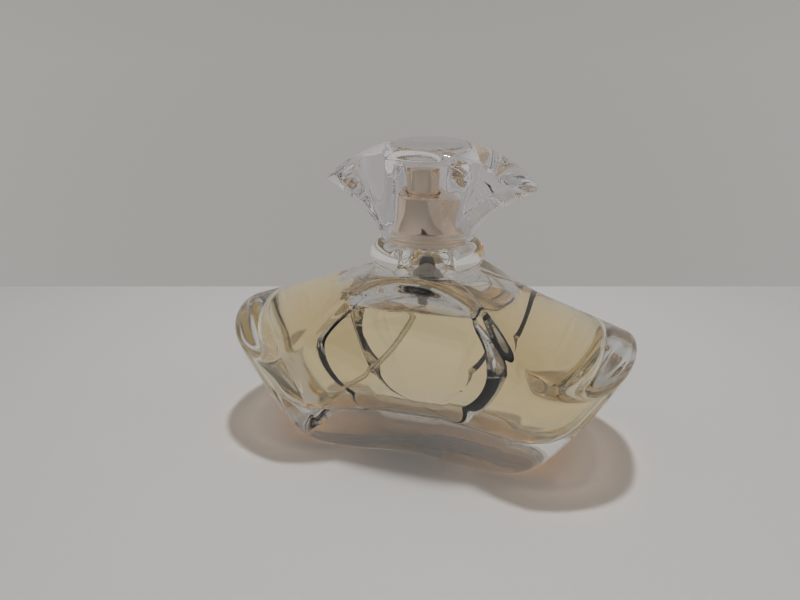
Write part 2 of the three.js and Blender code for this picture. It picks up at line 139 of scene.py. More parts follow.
def ramp(value, start, end):
    t = np.clip((value - start) / (end - start), 0, 1)
    return t * t * (3 - 2 * t)


def spaced(count, ease=0.7, start=0.0, end=1.0):
    """count values from start to end, closer together at the ends as ease grows."""
    t = np.linspace(0, 1, count)
    eased = (1 - np.cos(np.pi * t)) / 2
    return lerp(start, end, lerp(t, eased, ease))


def cast(field, guide, origin_z, reach=(0.3, 1.3), steps=50):
    """Moves each guide point along its line from the axis, to where field turns positive."""
    origin = np.zeros_like(guide)
    origin[..., 2] = origin_z
    way = guide - origin
    low = np.full(guide.shape[:2], reach[0])
    high = np.full(guide.shape[:2], reach[1])
    found = np.zeros(guide.shape[:2], bool)
    for t in np.linspace(reach[0], reach[1], steps):
        p = origin + way * t
        outside = field(p[..., 0], p[..., 1], p[..., 2]) > 0
        high = np.where(outside & ~found, t, high)
        found |= outside
        low = np.where(found, low, t)
    for _ in range(26):
        middle = (low + high) / 2
        p = origin + way * middle[..., None]
        outside = field(p[..., 0], p[..., 1], p[..., 2]) > 0
        high = np.where(outside, middle, high)
        low = np.where(outside, low, middle)
    return origin + way * ((low + high) / 2)[..., None]


def circles(profile, angles):
    """Rows of points round the axis, one for each (radius, height) of profile."""
    radius = np.array([p[0] for p in profile])[:, None]
    height = np.array([p[1] for p in profile])[:, None]
    rows = np.zeros((len(profile), len(angles), 3))
    rows[..., 0] = radius * np.cos(angles)
    rows[..., 1] = radius * np.sin(angles)
    rows[..., 2] = height + 0 * angles
    return rows


def mesh_object(name, points, faces):
    mesh = bpy.data.meshes.new(name)
    mesh.from_pydata((np.asarray(points) * MM).tolist(), [], faces)
    mesh.update()
    mesh.polygons.foreach_set("use_smooth", [True] * len(mesh.polygons))
    obj = bpy.data.objects.new(name, mesh)
    bpy.context.scene.collection.objects.link(obj)
    return obj


def skin(name, rows, start=None, end=None, closed=False):
    """A mesh over rows of as many points, all round. start and end are the poles' points.

    closed joins the last row to the first. Each row runs anticlockwise seen from above.
    """
    count, around = rows.shape[:2]
    points = rows.reshape(-1, 3).tolist()
    here = np.arange(around)
    after = (here + 1) % around
    faces = []
    pairs = [(r, r + 1) for r in range(count - 1)]
    if closed:
        pairs.append((count - 1, 0))
    for low, high in pairs:
        low_row, high_row = low * around, high * around
        quads = np.stack([low_row + here, low_row + after, high_row + after, high_row + here], 1)
        faces += quads.tolist()
    if start is not None:
        points.append(list(start))
        pole = len(points) - 1
        faces += [[int(b), int(a), pole] for a, b in zip(here, after)]
    if end is not None:
        points.append(list(end))
        pole = len(points) - 1
        top = (count - 1) * around
        faces += [[int(top + a), int(top + b), pole] for a, b in zip(here, after)]
    return mesh_object(name, points, faces)


def filleted(corners, radius, steps=4, closed=True):
    """The corners as a smooth profile. Each is [r, z] or [r, z, its own fillet radius]."""
    out = []
    count = len(corners)
    for i, corner in enumerate(corners):
        p = np.array(corner[:2], float)
        size = corner[2] if len(corner) > 2 else radius
        ends = not closed and i in (0, count - 1)
        if ends or size <= 0:
            out.append(tuple(p))
            continue
        a = np.array(corners[i - 1][:2], float) - p
        b = np.array(corners[(i + 1) % count][:2], float) - p
        length_a, length_b = np.hypot(*a), np.hypot(*b)
        cut = min(size, 0.45 * length_a, 0.45 * length_b)
        start, finish = p + a / length_a * cut, p + b / length_b * cut
        for t in np.linspace(0, 1, steps + 1):
            out.append(tuple((1 - t) ** 2 * start + 2 * t * (1 - t) * p + t**2 * finish))
    return out


def lathe(name, corners, fillet=0.12, around=96, steps=4, poles=False):
    """A turned piece. corners run up the outside and down the inside, or from pole to pole."""
    profile = filleted(corners, fillet, steps, closed=not poles)
    angles = np.arange(around) / around * TAU
    if poles:
        rows = circles(profile[1:-1], angles)
        start = (0, 0, profile[0][1])
        end = (0, 0, profile[-1][1])
        return skin(name, rows, start, end)
    return skin(name, circles(profile, angles), closed=True)


def box_loop(inner_r, outer_r, foot, top):
    """The section of a turned ring."""
    return [[inner_r, foot], [outer_r, foot], [outer_r, top], [inner_r, top]]


def swept(name, path, radius, around=20, bore=0.0):
    """A round tube or wire along path, closed at its ends. bore makes it hollow."""
    path = np.asarray(path, float)
    tangent = np.gradient(path, axis=0)
    tangent /= np.linalg.norm(tangent, axis=1)[:, None]
    side = np.zeros_like(path)
    guess = np.array([0.0, 1.0, 0.0])
    for i, along in enumerate(tangent):
        guess = guess - along * (guess @ along)
        guess /= np.linalg.norm(guess)
        side[i] = guess
    other = np.cross(tangent, side)
    angles = np.arange(around) / around * TAU

    def tube_rows(r):
        across = np.cos(angles)[None, :, None] * side[:, None, :]
        up = np.sin(angles)[None, :, None] * other[:, None, :]
        return path[:, None, :] + r * (across + up)

    outer = tube_rows(radius)
    if bore > 0:
        return skin(name, np.concatenate([outer, tube_rows(bore)[::-1]]), closed=True)
    return skin(name, outer, path[0], path[-1])


def smooth_path(knots, count):
    """A Catmull-Rom line through the knots."""
    knots = np.asarray(knots, float)
    padded = np.vstack([2 * knots[0] - knots[1], knots, 2 * knots[-1] - knots[-2]])
    places = np.linspace(0, len(knots) - 1, count)
    spans = np.minimum(places.astype(int), len(knots) - 2)
    t = (places - spans)[:, None]
    a, b, c, d = (padded[spans + i] for i in range(4))
    squared = (2 * a - 5 * b + 4 * c - d) * t**2
    cubed = (3 * b - a - 3 * c + d) * t**3
    return 0.5 * (2 * b + (c - a) * t + squared + cubed)


# ---- The bottle's shape -------------------------------------------------------------------


def flare(z):
    """0 at the base and 1 at the tips."""
    return np.clip(z / TIP_Z, 0, HULL_LIMIT)


def hull_half(z):
    t = flare(z)
    return lerp(HULL_BASE[0], HULL_TIP[0], t**HULL_GROWTH), lerp(HULL_BASE[1], HULL_TIP[1], t)


def squareness(z):
    return lerp(SQUARE[0], SQUARE[1], np.minimum(flare(z), 1))


def hull_distance(x, y, z):
    half_x, half_y = hull_half(z)
    power = squareness(z)
    along_x = np.maximum(np.abs(x) / half_x, 1e-6)
    along_y = np.maximum(np.abs(y) / half_y, 1e-6)
    r = (along_x**power + along_y**power) ** (1 / power)
    steepness = np.hypot(along_x ** (power - 1) / half_x, along_y ** (power - 1) / half_y)
    return (r - 1) / (steepness * r ** (1 - power))


def pleat_at(z):
    """The X of the pleat's valley and crest, and how far out the crest stands."""
    valley_x = lerp(VALLEY_X[0], VALLEY_X[1], np.clip(z / VALLEY_TOP_Z, 0, 1))
    return valley_x, hull_half(z)[0] * CREST_SHARE, lerp(CREST_Y[0], CREST_Y[1], flare(z))


def face_half_y(x, z):
    valley_x, crest_x, crest_y = pleat_at(z)
    past = np.clip((np.abs(x) - valley_x) / (crest_x - valley_x), 0, 1)
    return lerp(PANEL_HALF_Y, crest_y, past)


def shoulder_z(x, y):
    ridge = SHOULDER_TOP_Z - SHOULDER_SLOPE * np.hypot(x, SHOULDER_SOFTEN)
    return ridge - SHOULDER_DROP * y * y * ramp(np.abs(x), *SHOULDER_FLAT_X)


EDGE_ROUND = 1.3
SHOULDER_ROUND = 1.8
FOOT_ROUND = 2.0


def outside_field(x, y, z):
    walls = soft_max(hull_distance(x, y, z), np.abs(y) - face_half_y(x, z), EDGE_ROUND)
    capped = soft_max(walls, z - shoulder_z(x, y), SHOULDER_ROUND)
    body = soft_max(capped, -z, FOOT_ROUND)
    r = np.hypot(x, y)
    waist = np.maximum(np.maximum(r - WAIST_R, z - BEAD_Z), 30 - z)
    bead = np.hypot(np.maximum(r - (BEAD_R - BEAD_SECTION_R), 0), z - BEAD_Z) - BEAD_SECTION_R
    neck = soft_min(waist, bead, 0.8)
    return soft_min(body, neck, 1.6)


def cavity_field(x, y, z):
    ends = hull_distance(x, y, z) + WALL_END
    faces = np.abs(y) - face_half_y(x, z) + WALL_FACE
    walls = soft_max(ends, faces, WALL_ROUND)
    capped = soft_max(walls, z - shoulder_z(x, y) + WALL_SHOULDER, WALL_ROUND)
    return soft_max(capped, WALL_FLOOR - z, WALL_ROUND)


def hollow_field(x, y, z):
    bore = np.maximum(np.hypot(x, y) - BORE_R, 30 - z)
    return soft_min(cavity_field(x, y, z), bore, 3.0)


FACE_COLUMNS = 110
END_COLUMNS = 40
AROUND = 2 * (FACE_COLUMNS + END_COLUMNS)
# How much of a half face's columns lie inside the valley, and inside the crest.
VALLEY_SHARE = 0.26
CREST_COLUMNS_SHARE = 0.86


def outline(z, inset=(0.0, 0.0)):
    """Points round the level section at height z, the same count on each face and end.

    z is one height, or one for each point. The first point is past the right rear corner.
    """
    z = np.broadcast_to(np.asarray(z, float), (AROUND,))
    half_x, half_y = hull_half(z)
    half_x, half_y = half_x - inset[0], half_y - inset[0]
    valley_x, crest_x, crest_y = pleat_at(z)
    power = squareness(z)
    corner_y = np.minimum(crest_y - inset[1], half_y * 0.985)
    corner_x = half_x * (1 - (corner_y / half_y) ** power) ** (1 / power)
    crest_x = np.minimum(crest_x, corner_x - 0.3)
    corner_turn = np.arctan2(corner_y / half_y, corner_x / half_x)
    right = slice(0, END_COLUMNS)
    back = slice(END_COLUMNS, END_COLUMNS + FACE_COLUMNS)
    left = slice(END_COLUMNS + FACE_COLUMNS, 2 * END_COLUMNS + FACE_COLUMNS)
    front = slice(2 * END_COLUMNS + FACE_COLUMNS, AROUND)
    x = np.empty(AROUND)
    y = np.empty(AROUND)
    # Columns run along the valleys and the crests, so that the pleats stay crisp.
    s = spaced(FACE_COLUMNS + 1, 0.2)[:-1] * 2 - 1
    t = spaced(END_COLUMNS + 1, 0.4)[:-1] * 2 - 1
    for face, facing in ((back, -1), (front, 1)):
        away = np.abs(s)
        on_wing = (away - VALLEY_SHARE) / (CREST_COLUMNS_SHARE - VALLEY_SHARE)
        past_crest = (away - CREST_COLUMNS_SHARE) / (1 - CREST_COLUMNS_SHARE)
        inner = away / VALLEY_SHARE * valley_x[face]
        wing = lerp(valley_x[face], crest_x[face], on_wing)
        rest = lerp(crest_x[face], corner_x[face], past_crest)
        outer = np.where(away < CREST_COLUMNS_SHARE, wing, rest)
        x[face] = facing * np.sign(s) * np.where(away < VALLEY_SHARE, inner, outer)
        y[face] = -facing * (face_half_y(x[face], z[face]) - inset[1])
    for end, facing in ((right, 1), (left, -1)):
        turn = t * corner_turn[end]
        p = power[end]
        reach = (np.abs(np.cos(turn)) ** p + np.abs(np.sin(turn)) ** p) ** (1 / p)
        x[end] = facing * half_x[end] * np.cos(turn) / reach
        y[end] = facing * half_y[end] * np.sin(turn) / reach
    return np.stack([x, y, z], 1)


def body_guides(inset, floor_z, roof_drop, neck_r, counts):
    """Guide points over the floor, the wall and the shoulder, and the height of each origin."""
    top_z = np.full(AROUND, TIP_Z)
    for _ in range(30):
        rim = outline(top_z, inset)
        top_z = lerp(top_z, shoulder_z(rim[:, 0], rim[:, 1]) - roof_drop, 0.5)
    foot = outline(floor_z, inset)
    centre = np.array([0, 0, floor_z])
    rows, origins = [], []
    for u in spaced(counts[0] + 1, 0.6, 0.0, 1.0)[1:-1]:
        rows.append(lerp(centre, foot, u))
        origins.append(lerp(floor_z + 4, floor_z + 12, u))
    for v in spaced(counts[1], 0.75):
        rows.append(outline(lerp(floor_z, top_z, v), inset))
        origins.append(lerp(floor_z + 12, 20, v))
    turn = np.arctan2(rim[:, 1], rim[:, 0])
    neck = np.stack([neck_r * np.cos(turn), neck_r * np.sin(turn), 0 * turn], 1)
    for u in spaced(counts[2] + 1, 0.6)[1:]:
        p = lerp(rim, neck, u)
        p[:, 2] = shoulder_z(p[:, 0], p[:, 1]) - roof_drop
        rows.append(p)
        origins.append(lerp(20, 35 - roof_drop, u))
    return np.array(rows), np.array(origins)[:, None], turn


def glass_rows():
    rows, origins, turn = body_guides((0, 0), 0.0, 0.0, WAIST_R + 0.8, (22, 64, 54))
    body = cast(outside_field, rows, origins)
    waist = circles([(WAIST_R, 0)] * 7, turn)
    junction = shoulder_z(waist[0, :, 0], waist[0, :, 1])
    for i, v in enumerate(np.linspace(0.25, 1, 7)):
        waist[i, :, 2] = lerp(junction, BEAD_Z - BEAD_SECTION_R * 0.6, v)
    lift = np.linspace(3, 0, 7)[:, None]
    waist = cast(outside_field, waist, 43.5 - lift, (0.6, 1.3))
    bend = np.radians(np.linspace(-34, 86, 22))
    bead_middle = BEAD_R - BEAD_SECTION_R
    bead = [
        (bead_middle + BEAD_SECTION_R * np.cos(b), BEAD_Z + BEAD_SECTION_R * np.sin(b))
        for b in bend
    ]
    bead = cast(outside_field, circles(bead, turn), np.linspace(44.2, 48, 22)[:, None], (0.6, 1.3))
    finish = filleted([
        [BEAD_R - BEAD_SECTION_R, RING_TOP_Z, 0],
        [GROOVE_R, RING_TOP_Z, 0.5],
        [GROOVE_R, LIP_Z, 0.2],
        [FINISH_R, LIP_Z + 0.5, 0.3],
        [FINISH_R, FINISH_TOP_Z, 0.5],
        [BORE_R, FINISH_TOP_Z, 0.5],
        [BORE_R, 44.5, 0],
    ], 0.3, closed=False)
    deep = [(BORE_R, z) for z in np.linspace(53, 44.5, 9)[:-1]]
    finish = circles(finish[:-1] + deep, turn)
    inner, inner_origins, _ = body_guides(
        (WALL_END, WALL_FACE), WALL_FLOOR, WALL_SHOULDER, BORE_R, (18, 42, 40))
    inner = cast(hollow_field, inner, inner_origins)
    throat = circles([(BORE_R, z) for z in np.linspace(41.2, 44, 7)], turn)
    throat = cast(hollow_field, throat, np.linspace(37, 43.5, 7)[:, None], (0.6, 1.8))
    return np.concatenate([body, waist, bead, finish, throat[::-1], inner[::-1]])


def liquid_rows():
    overlap = 0.05
    meniscus = 0.55

    def wet_field(x, y, z):
        wall = cavity_field(x, y, z) - overlap
        level = LIQUID_Z + meniscus * np.exp(np.minimum(wall, 0) / 1.1)
        return soft_max(wall, z - level, 0.12)

    inset = (WALL_END - overlap, WALL_FACE - overlap)
    rows, origins, _ = body_guides(inset, WALL_FLOOR, WALL_SHOULDER, BORE_R, (18, 42, 64))
    rows = cast(wet_field, rows, np.minimum(origins, 24), (0.3, 1.3))
    lid = rows[-1]
    centre = np.array([0, 0, LIQUID_Z])
    inner = [lerp(lid, centre, u) for u in (0.25, 0.5, 0.75)]
    return np.concatenate([rows, np.array(inner)])


# ---- The overcap's shape ------------------------------------------------------------------


def cap_half(z):
    t = np.clip((z - CAP_FOOT_Z) / (CAP_TIP_Z - CAP_FOOT_Z), 0, 1.25) ** CAP_FLARE
    return lerp(CAP_FOOT_R, CAP_TIP[0], t), lerp(CAP_FOOT_R, CAP_TIP[1], t)


def cap_side_field(x, y, z):
    half_x, half_y = cap_half(z)
    r = np.maximum(np.hypot(x / half_x, y / half_y), 1e-6)
    steepness = np.hypot(x / half_x**2, y / half_y**2) / r
    trumpet = (r - 1) / np.maximum(steepness, 1e-6)
    place = np.abs(x) / np.sqrt(half_x / CAP_TIP[0])
    valley = np.exp(-(((place - CAP_VALLEY_X) / CAP_VALLEY_WIDTH) ** 2))
    flat = lerp(CAP_FACE_Y[0], CAP_FACE_Y[1], ramp(place, CAP_VALLEY_X, CAP_TIP[0]))
    return soft_max(trumpet, np.abs(y) - flat + CAP_VALLEY_DEPTH * valley, 1.1)


def cap_dome_z(x, y):
    fall = (CAP_TOP_Z - CAP_TIP_Z) * (np.abs(x) / CAP_TIP[0]) ** 2.2
    return CAP_TOP_Z - fall - 1.8 * (y / CAP_FACE_Y[0]) ** 2


def cap_field(x, y, z):
    capped = soft_max(cap_side_field(x, y, z), z - cap_dome_z(x, y), 1.3)
    return soft_max(capped, CAP_FOOT_Z - z, 1.2)


CAP_AROUND = 260


def cap_rows():
    # Equal steps round a long rounded outline put more columns on the wings' ends.
    fine = np.linspace(0, TAU, 4001)
    long_x, long_y = 22 * np.cos(fine), 10 * np.sin(fine)
    travelled = np.concatenate([[0], np.cumsum(np.hypot(np.diff(long_x), np.diff(long_y)))])
    wanted = np.arange(CAP_AROUND) / CAP_AROUND * travelled[-1]
    place = np.interp(wanted, travelled, fine)
    angles = np.arctan2(10 * np.sin(place), 22 * np.cos(place))

    def rim(z):
        guide = circles([(1, 0)], angles) * 30
        guide[..., 2] = z
        return cast(cap_side_field, guide, guide[..., 2], (0.2, 1.0), 60)[0]

    top_z = np.full(CAP_AROUND, 68.0)
    for _ in range(24):
        edge = rim(top_z)
        top_z = lerp(top_z, cap_dome_z(edge[:, 0], edge[:, 1]), 0.5)
    rows, origins = [], []
    for u in spaced(7, 0.5, 0.0, 1.0)[1:-1]:
        foot = circles([(lerp(SOCKET_MOUTH_R, CAP_FOOT_R, u), CAP_FOOT_Z)], angles)[0]
        rows.append(foot)
        origins.append(CAP_FOOT_Z + 2)
    for v in spaced(58, 0.7):
        rows.append(rim(lerp(CAP_FOOT_Z, top_z, v)))
        origins.append(lerp(CAP_FOOT_Z + 2, 63, v))
    for u in spaced(36, 0.6)[1:-1]:
        p = lerp(edge, np.array([0, 0, CAP_TOP_Z]), u)
        p[:, 2] = cap_dome_z(p[:, 0], p[:, 1])
        rows.append(p)
        origins.append(lerp(63, 60, u))
    outer = cast(cap_field, np.array(rows), np.array(origins)[:, None], (0.5, 1.4))
    mouth_top = CAP_FOOT_Z + 1.7
    socket = filleted([
        [0.0, SOCKET_TOP_Z],
        [SOCKET_R, SOCKET_TOP_Z, 2.2],
        [SOCKET_R, 66, 0],
        [SOCKET_R, 63, 0],
        [SOCKET_R, 60, 0],
        [SOCKET_R, 57, 0],
        [SOCKET_R, 54.5, 0],
        [SOCKET_R, mouth_top + 0.6, 0.4],
        [SOCKET_MOUTH_R, mouth_top, 0.4],
        [SOCKET_MOUTH_R, CAP_FOOT_Z, 0.35],
    ] + [[SOCKET_MOUTH_R + 0.6, CAP_FOOT_Z]], 0.4, steps=6, closed=False)
    inner = circles(socket[1:-1], angles)
    ceiling = circles([(r, SOCKET_TOP_Z) for r in (1.5, 3, 4.5, 5.8)], angles)
    both = np.concatenate([ceiling, inner, outer])
    turned = both.copy()
    turned[..., 0] = both[..., 0] * np.cos(CAP_TURN) - both[..., 1] * np.sin(CAP_TURN)
    turned[..., 1] = both[..., 0] * np.sin(CAP_TURN) + both[..., 1] * np.cos(CAP_TURN)
    return turned


# ---- Materials ----------------------------------------------------------------------------


class Nodes:
    """A material's node tree, with short ways to add what each finish needs."""

    def __init__(self, name):
        self.material = bpy.data.materials.new(name)
        self.material.use_nodes = True
        self.tree = self.material.node_tree
        self.tree.nodes.clear()
        self.output = self.add("ShaderNodeOutputMaterial")

    def add(self, kind, **values):
        node = self.tree.nodes.new(kind)
        for key, value in values.items():
            setattr(node, key, value)
        return node

    def link(self, a, b):
        self.tree.links.new(a, b)

    def principled(self, **values):
        shader = self.add("ShaderNodeBsdfPrincipled")
        for key, value in values.items():
            socket = shader.inputs[key.replace("_", " ")]
            socket.default_value = (*value, 1) if isinstance(value, tuple) else value
        return shader

    def noise(self, scale, detail=3.0, roughness=0.5, stretch=(1, 1, 1)):
        place = self.add("ShaderNodeTexCoord")
        mapping = self.add("ShaderNodeMapping")
        mapping.inputs["Scale"].default_value = stretch
        texture = self.add("ShaderNodeTexNoise")
        texture.inputs["Scale"].default_value = scale
        texture.inputs["Detail"].default_value = detail
        texture.inputs["Roughness"].default_value = roughness
        self.link(place.outputs["Object"], mapping.inputs["Vector"])
        self.link(mapping.outputs["Vector"], texture.inputs["Vector"])
        return texture.outputs["Fac"]

    def span(self, value, low, high, start=0.3, end=0.7):
        node = self.add("ShaderNodeMapRange")
        node.inputs["From Min"].default_value = start
        node.inputs["From Max"].default_value = end
        node.inputs["To Min"].default_value = low
        node.inputs["To Max"].default_value = high
        self.link(value, node.inputs["Value"])
        return node.outputs["Result"]

    def colours(self, value, *stops):
        node = self.add("ShaderNodeValToRGB")
        node.color_ramp.elements.remove(node.color_ramp.elements[1])
        for i, (place, colour) in enumerate(stops):
            stop = node.color_ramp.elements[0] if i == 0 else node.color_ramp.elements.new(place)
            stop.position = place
            stop.color = (*colour, 1)
        self.link(value, node.inputs["Fac"])
        return node.outputs["Color"]

    def bump(self, height, strength, distance):
        node = self.add("ShaderNodeBump")
        node.inputs["Strength"].default_value = strength
        node.inputs["Distance"].default_value = distance
        self.link(height, node.inputs["Height"])
        return node.outputs["Normal"]

    def lamps_pass(self, shader, tint):
        """Lets lamplight through, as clear glass and clear plastic do, tinted."""
        path = self.add("ShaderNodeLightPath")
        clear = self.add("ShaderNodeBsdfTransparent")
        clear.inputs["Color"].default_value = (*tint, 1)
        mix = self.add("ShaderNodeMixShader")
        self.link(path.outputs["Is Shadow Ray"], mix.inputs["Fac"])
        self.link(shader, mix.inputs[1])
        self.link(clear.outputs["BSDF"], mix.inputs[2])
        return mix.outputs["Shader"]

    def done(self, shader):
        self.link(shader, self.output.inputs["Surface"])
        return self.material


def clear_material(name, ior, colours, roughness, wave, lamp_tint, absorb=None):
    """Clear glass, liquid or plastic. wave is the bump's noise scale, strength and depth."""
    n = Nodes(name)
    shader = n.principled(IOR=ior, Transmission_Weight=1.0)
    tone = n.colours(n.noise(22, 2), (0.35, colours[0]), (0.65, colours[1]))
    n.link(tone, shader.inputs["Base Color"])
    n.link(n.span(n.noise(160, 4), roughness[0], roughness[1]), shader.inputs["Roughness"])
    n.link(n.bump(n.noise(wave[0], 2, 0.4), wave[1], wave[2]), shader.inputs["Normal"])
    if absorb is not None:
        volume = n.add("ShaderNodeVolumeAbsorption")
        volume.inputs["Color"].default_value = (*absorb[0], 1)
        volume.inputs["Density"].default_value = absorb[1]
        n.link(volume.outputs["Volume"], n.output.inputs["Volume"])
    return n.done(n.lamps_pass(shader.outputs["BSDF"], lamp_tint))


def metal_material(name, colours, roughness, scale, stretch=(1, 1, 1), bump=(0.02, 0.00002)):
    n = Nodes(name)
    shader = n.principled(Metallic=1.0)
    grain = n.noise(scale, 5, 0.6, stretch)
    tone = n.colours(n.noise(90, 3), (0.3, colours[0]), (0.7, colours[1]))
    n.link(tone, shader.inputs["Base Color"])
    n.link(n.span(grain, roughness[0], roughness[1]), shader.inputs["Roughness"])
    n.link(n.bump(grain, bump[0], bump[1]), shader.inputs["Normal"])
    return n.done(shader.outputs["BSDF"])


def plastic_material(
        name, colours, roughness, transmission=0.0, ior=1.49, lamp_tint=None, bump=0.05):
    n = Nodes(name)
    shader = n.principled(IOR=ior, Transmission_Weight=transmission)
    grain = n.noise(1400, 4, 0.6)
    tone = n.colours(n.noise(180, 3), (0.3, colours[0]), (0.7, colours[1]))
    n.link(tone, shader.inputs["Base Color"])
    n.link(n.span(grain, roughness[0], roughness[1]), shader.inputs["Roughness"])
    n.link(n.bump(grain, bump, 0.00004), shader.inputs["Normal"])
    if lamp_tint is None:
        return n.done(shader.outputs["BSDF"])
    return n.done(n.lamps_pass(shader.outputs["BSDF"], lamp_tint))


GLASS = clear_material(
    "clear_glass", 1.5, ((0.985, 0.985, 0.98), (1.0, 0.998, 0.99)), (0.0, 0.012),
    (60, 0.1, 0.0002), (0.5, 0.42, 0.34))
PERFUME = clear_material(
    "perfume_liquid", 1.36, ((1.0, 0.992, 0.96), (1.0, 0.998, 0.98)), (0.0, 0.004),
    (30, 0.04, 0.0001), (0.7, 0.52, 0.3), ((0.9, 0.66, 0.08), 24.0))
CAP_PLASTIC = clear_material(
    "clear_cap", 1.49, ((0.975, 0.965, 0.985), (1.0, 0.99, 1.0)), (0.0, 0.015),
    (70, 0.1, 0.00015), (0.72, 0.68, 0.66))
GOLD = metal_material(
    "pale_gold", ((0.86, 0.7, 0.53), (0.93, 0.79, 0.62)), (0.025, 0.06), 300, (1, 1, 0.15))
ALUMINIUM = metal_material(
    "aluminium_sheet", ((0.72, 0.73, 0.74), (0.82, 0.82, 0.83)), (0.25, 0.4),
    500, (1, 1, 6), (0.08, 0.00003))
STEEL = metal_material(
    "spring_steel", ((0.56, 0.57, 0.58), (0.68, 0.69, 0.7)), (0.18, 0.32),
    900, (1, 1, 1), (0.06, 0.00002))
NATURAL = plastic_material(
    "natural_plastic", ((0.88, 0.88, 0.85), (0.95, 0.95, 0.92)), (0.22, 0.38),
    0.25, 1.49, (0.6, 0.58, 0.55))
TUBE = plastic_material(
    "tube_plastic", ((0.96, 0.94, 0.88), (0.99, 0.98, 0.94)), (0.06, 0.14),
    0.95, 1.42, (0.8, 0.78, 0.72))
WHITE = plastic_material("white_plastic", ((0.8, 0.8, 0.78), (0.88, 0.88, 0.86)), (0.35, 0.5))
RUBBER = plastic_material(
    "dark_rubber", ((0.03, 0.03, 0.032), (0.06, 0.06, 0.062)), (0.5, 0.75), bump=0.2)

GREY_SEAL = plastic_material(
    "grey_seal", ((0.13, 0.125, 0.12), (0.19, 0.185, 0.18)), (0.4, 0.6), bump=0.15)


# ---- Pieces -------------------------------------------------------------------------------


def finish_piece(piece, material, slot, body, *nodes):
    piece.data.materials.clear()
    piece.data.materials.append(material)
    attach(piece, body)
    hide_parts(*nodes)
    return piece


rows = glass_rows()
bottle = skin("glass_bottle", rows, (0, 0, 0), (0, 0, WALL_FLOOR))
finish_piece(bottle, GLASS, "clear_glass", "bottle", "bottle_glass")

perfume = skin("perfume_fill", liquid_rows(), (0, 0, WALL_FLOOR - 0.05), (0, 0, LIQUID_Z))
finish_piece(perfume, PERFUME, "perfume", "bottle", "perfume")

cap = skin("clear_overcap", cap_rows(), (0, 0, SOCKET_TOP_Z), (0, 0, CAP_TOP_Z))
finish_piece(cap, CAP_PLASTIC, "clear_plastic", "cap", "overcap")

# The collar: a rolled foot, a fine groove and a turned-in top.
COLLAR_FOOT_Z = node_foot("ferrule_collar")
COLLAR_TOP_Z = node_top("ferrule_collar")
GROOVE_Z = COLLAR_FOOT_Z + 2.8
collar = lathe("gold_collar", [
    [COLLAR_R - 0.3, COLLAR_FOOT_Z],
    [COLLAR_R + 0.5, COLLAR_FOOT_Z, 0.35],
    [COLLAR_R + 0.5, COLLAR_FOOT_Z + 0.9, 0.35],
    [COLLAR_R, COLLAR_FOOT_Z + 0.9, 0.15],
    [COLLAR_R, GROOVE_Z - 0.25],
    [COLLAR_R - 0.15, GROOVE_Z],
    [COLLAR_R, GROOVE_Z + 0.25],
    [COLLAR_R, COLLAR_TOP_Z, 0.45],
    [ACTUATOR_R + 0.3, COLLAR_TOP_Z, 0.15],
    [ACTUATOR_R + 0.3, COLLAR_TOP_Z - 0.4, 0.1],
    [COLLAR_R - 0.3, COLLAR_TOP_Z - 0.4],
], around=128)
finish_piece(collar, GOLD, "gold_metal", "bottle", "ferrule_collar")

CUP_TOP_Z = node_top("ferrule_cup")
CUP_FOOT_Z = node_foot("ferrule_cup")
cup = lathe("aluminium_cup", [
    [GROOVE_R + 0.35, CUP_FOOT_Z],
    [FINISH_R + 0.55, CUP_FOOT_Z, 0.3],
    [FINISH_R + 0.55, CUP_TOP_Z, 0.5],
    [2.2, CUP_TOP_Z],
    [2.2, CUP_TOP_Z - 0.5],
    [FINISH_R + 0.25, CUP_TOP_Z - 0.5, 0.3],
    [FINISH_R + 0.25, CUP_FOOT_Z + 0.4],
    [GROOVE_R + 0.35, CUP_FOOT_Z + 0.4],
])
finish_piece(cup, ALUMINIUM, "aluminium", "bottle", "ferrule_cup")


def ring_piece(node, name, inner_r, outer_r, material, slot, body, fillet=0.1):
    section = box_loop(inner_r, outer_r, node_foot(node), node_top(node))
    return finish_piece(lathe(name, section, fillet), material, slot, body, node)


ring_piece(
    "neck_gasket", "seal_gasket", BORE_R + 0.2, FINISH_R - 0.5, RUBBER, "dark_rubber", "bottle")
ring_piece("stem_seal", "seal_stem", STEM_R + 0.15, 3.5, RUBBER, "dark_rubber", "bottle")
ring_piece("stem_guide", "guide_bush", STEM_R + 0.15, 3.5, NATURAL, "natural_plastic", "bottle")
ring_piece("intake_seal", "seal_intake", 1.5, 2.1, GREY_SEAL, "dark_rubber", "bottle", 0.25)
ring_piece("piston", "pump_piston", STEM_R + 0.15, 2.6, WHITE, "natural_plastic", "plunger", 0.2)

HOUSING_TOP_Z = node_top("pump_housing")
TAIL_Z = node_foot("pump_housing")
housing = lathe("pump_barrel", [
    [0.9, TAIL_Z, 0.1],
    [1.35, TAIL_Z, 0.2],
    [1.35, 41.1, 0.15],
    [2.2, 41.1, 0.12],
    [2.2, 41.5, 0.12],
    [1.35, 41.5, 0.1],
    [1.35, 43.9, 0.2],
    [3.2, 43.9, 0.4],
    [4.3, 46.4, 0.6],
    [4.3, HOUSING_TOP_Z - 0.55, 0.2],
    [6.9, HOUSING_TOP_Z - 0.55],
    [6.9, HOUSING_TOP_Z],
    [3.65, HOUSING_TOP_Z],
    [3.65, HOUSING_TOP_Z - 2.1],
    [2.7, HOUSING_TOP_Z - 2.1],
    [2.7, 45.2],
    [1.6, 45.2],
    [0.6, 44.2],
    [0.5, 40.9],
    [0.9, 40.9],
])
finish_piece(housing, NATURAL, "natural_plastic", "bottle", "pump_housing")

